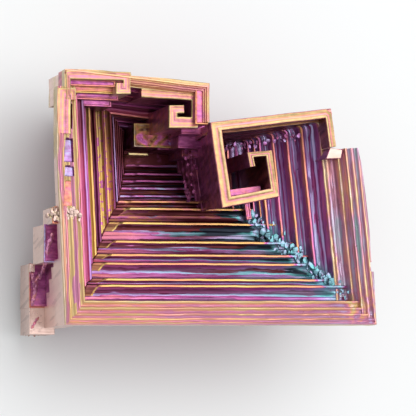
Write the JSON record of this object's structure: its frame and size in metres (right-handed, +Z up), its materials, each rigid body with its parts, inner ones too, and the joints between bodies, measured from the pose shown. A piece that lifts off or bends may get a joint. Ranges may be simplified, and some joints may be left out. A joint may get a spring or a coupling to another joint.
{
  "type": "bismuth hopper crystal",
  "caption": "Free-standing bismuth hopper crystal with square stepped terraces, a square spiral box grown into one corner, stepped undersides and a flat base to rest on",
  "frame": {"origin": "on the resting plane, under the middle of the crystal's bounding box", "axes": "+Z up out of the open hopper, +X along the longest side towards the turned crystal's side, +Y towards the side with the hooks and the spiral box"},
  "size_m": [0.0514, 0.0392, 0.022],
  "materials": {
    "oxidised_bismuth": "bare bismuth under a thin rainbow oxide film, satin to glossy, straw yellow on edges, magenta, violet and blue on treads"
  },
  "bodies": {
    "root": {"crystal": "oxidised_bismuth"}
  },
  "joints": []
}
